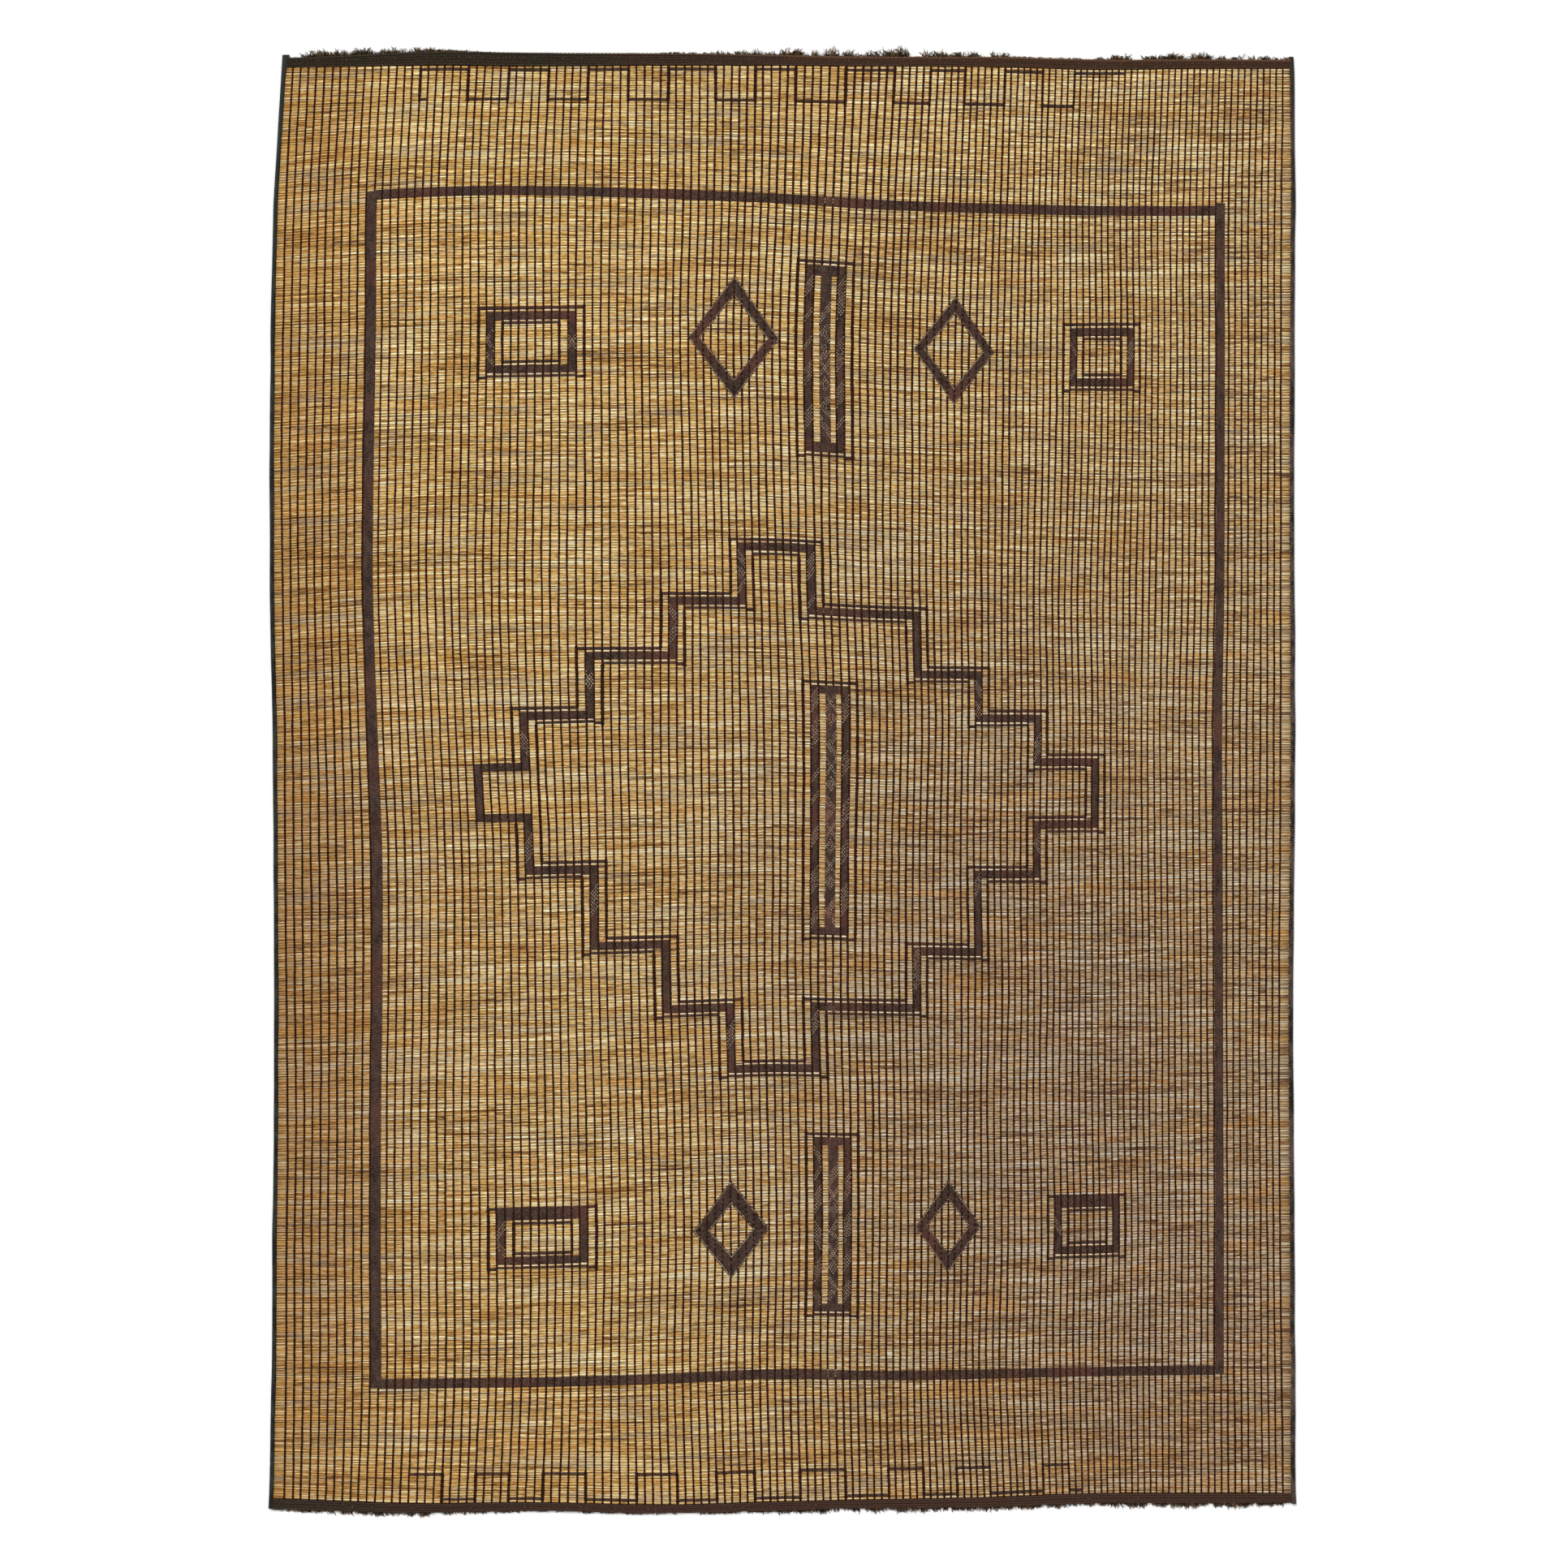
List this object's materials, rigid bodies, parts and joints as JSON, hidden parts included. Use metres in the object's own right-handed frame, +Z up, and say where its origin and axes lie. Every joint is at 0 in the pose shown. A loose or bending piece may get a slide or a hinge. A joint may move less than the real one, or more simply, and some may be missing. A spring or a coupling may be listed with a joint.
{
  "type": "reed and leather floor mat",
  "caption": "Large flat floor mat of reeds bound by leather thongs, with stepped and boxed leather bands, bound sides, ribbed end headings and a short fringe.",
  "frame": {"origin": "middle of the mat's underside, on the floor", "axes": "+X across the width, along the reeds, to the right of the picture; +Y along the length, along the thongs, to the top of the picture; +Z up from the floor"},
  "size_m": [2.0272, 2.8932, 0.0075],
  "materials": {
    "reed_field": "satin dry reeds bound with dark leather thongs",
    "binding_leather_left": "worn satin",
    "binding_leather_right": "worn satin",
    "heading_leather": "worn satin",
    "frayed_leather": "matt, frayed"
  },
  "bodies": {
    "root": {"mat_field": "reed_field", "side_binding_left": "binding_leather_left", "side_binding_right": "binding_leather_right", "end_heading_top": "heading_leather", "end_heading_bottom": "heading_leather", "end_fringe_top": "frayed_leather", "end_fringe_bottom": "frayed_leather"}
  },
  "joints": []
}
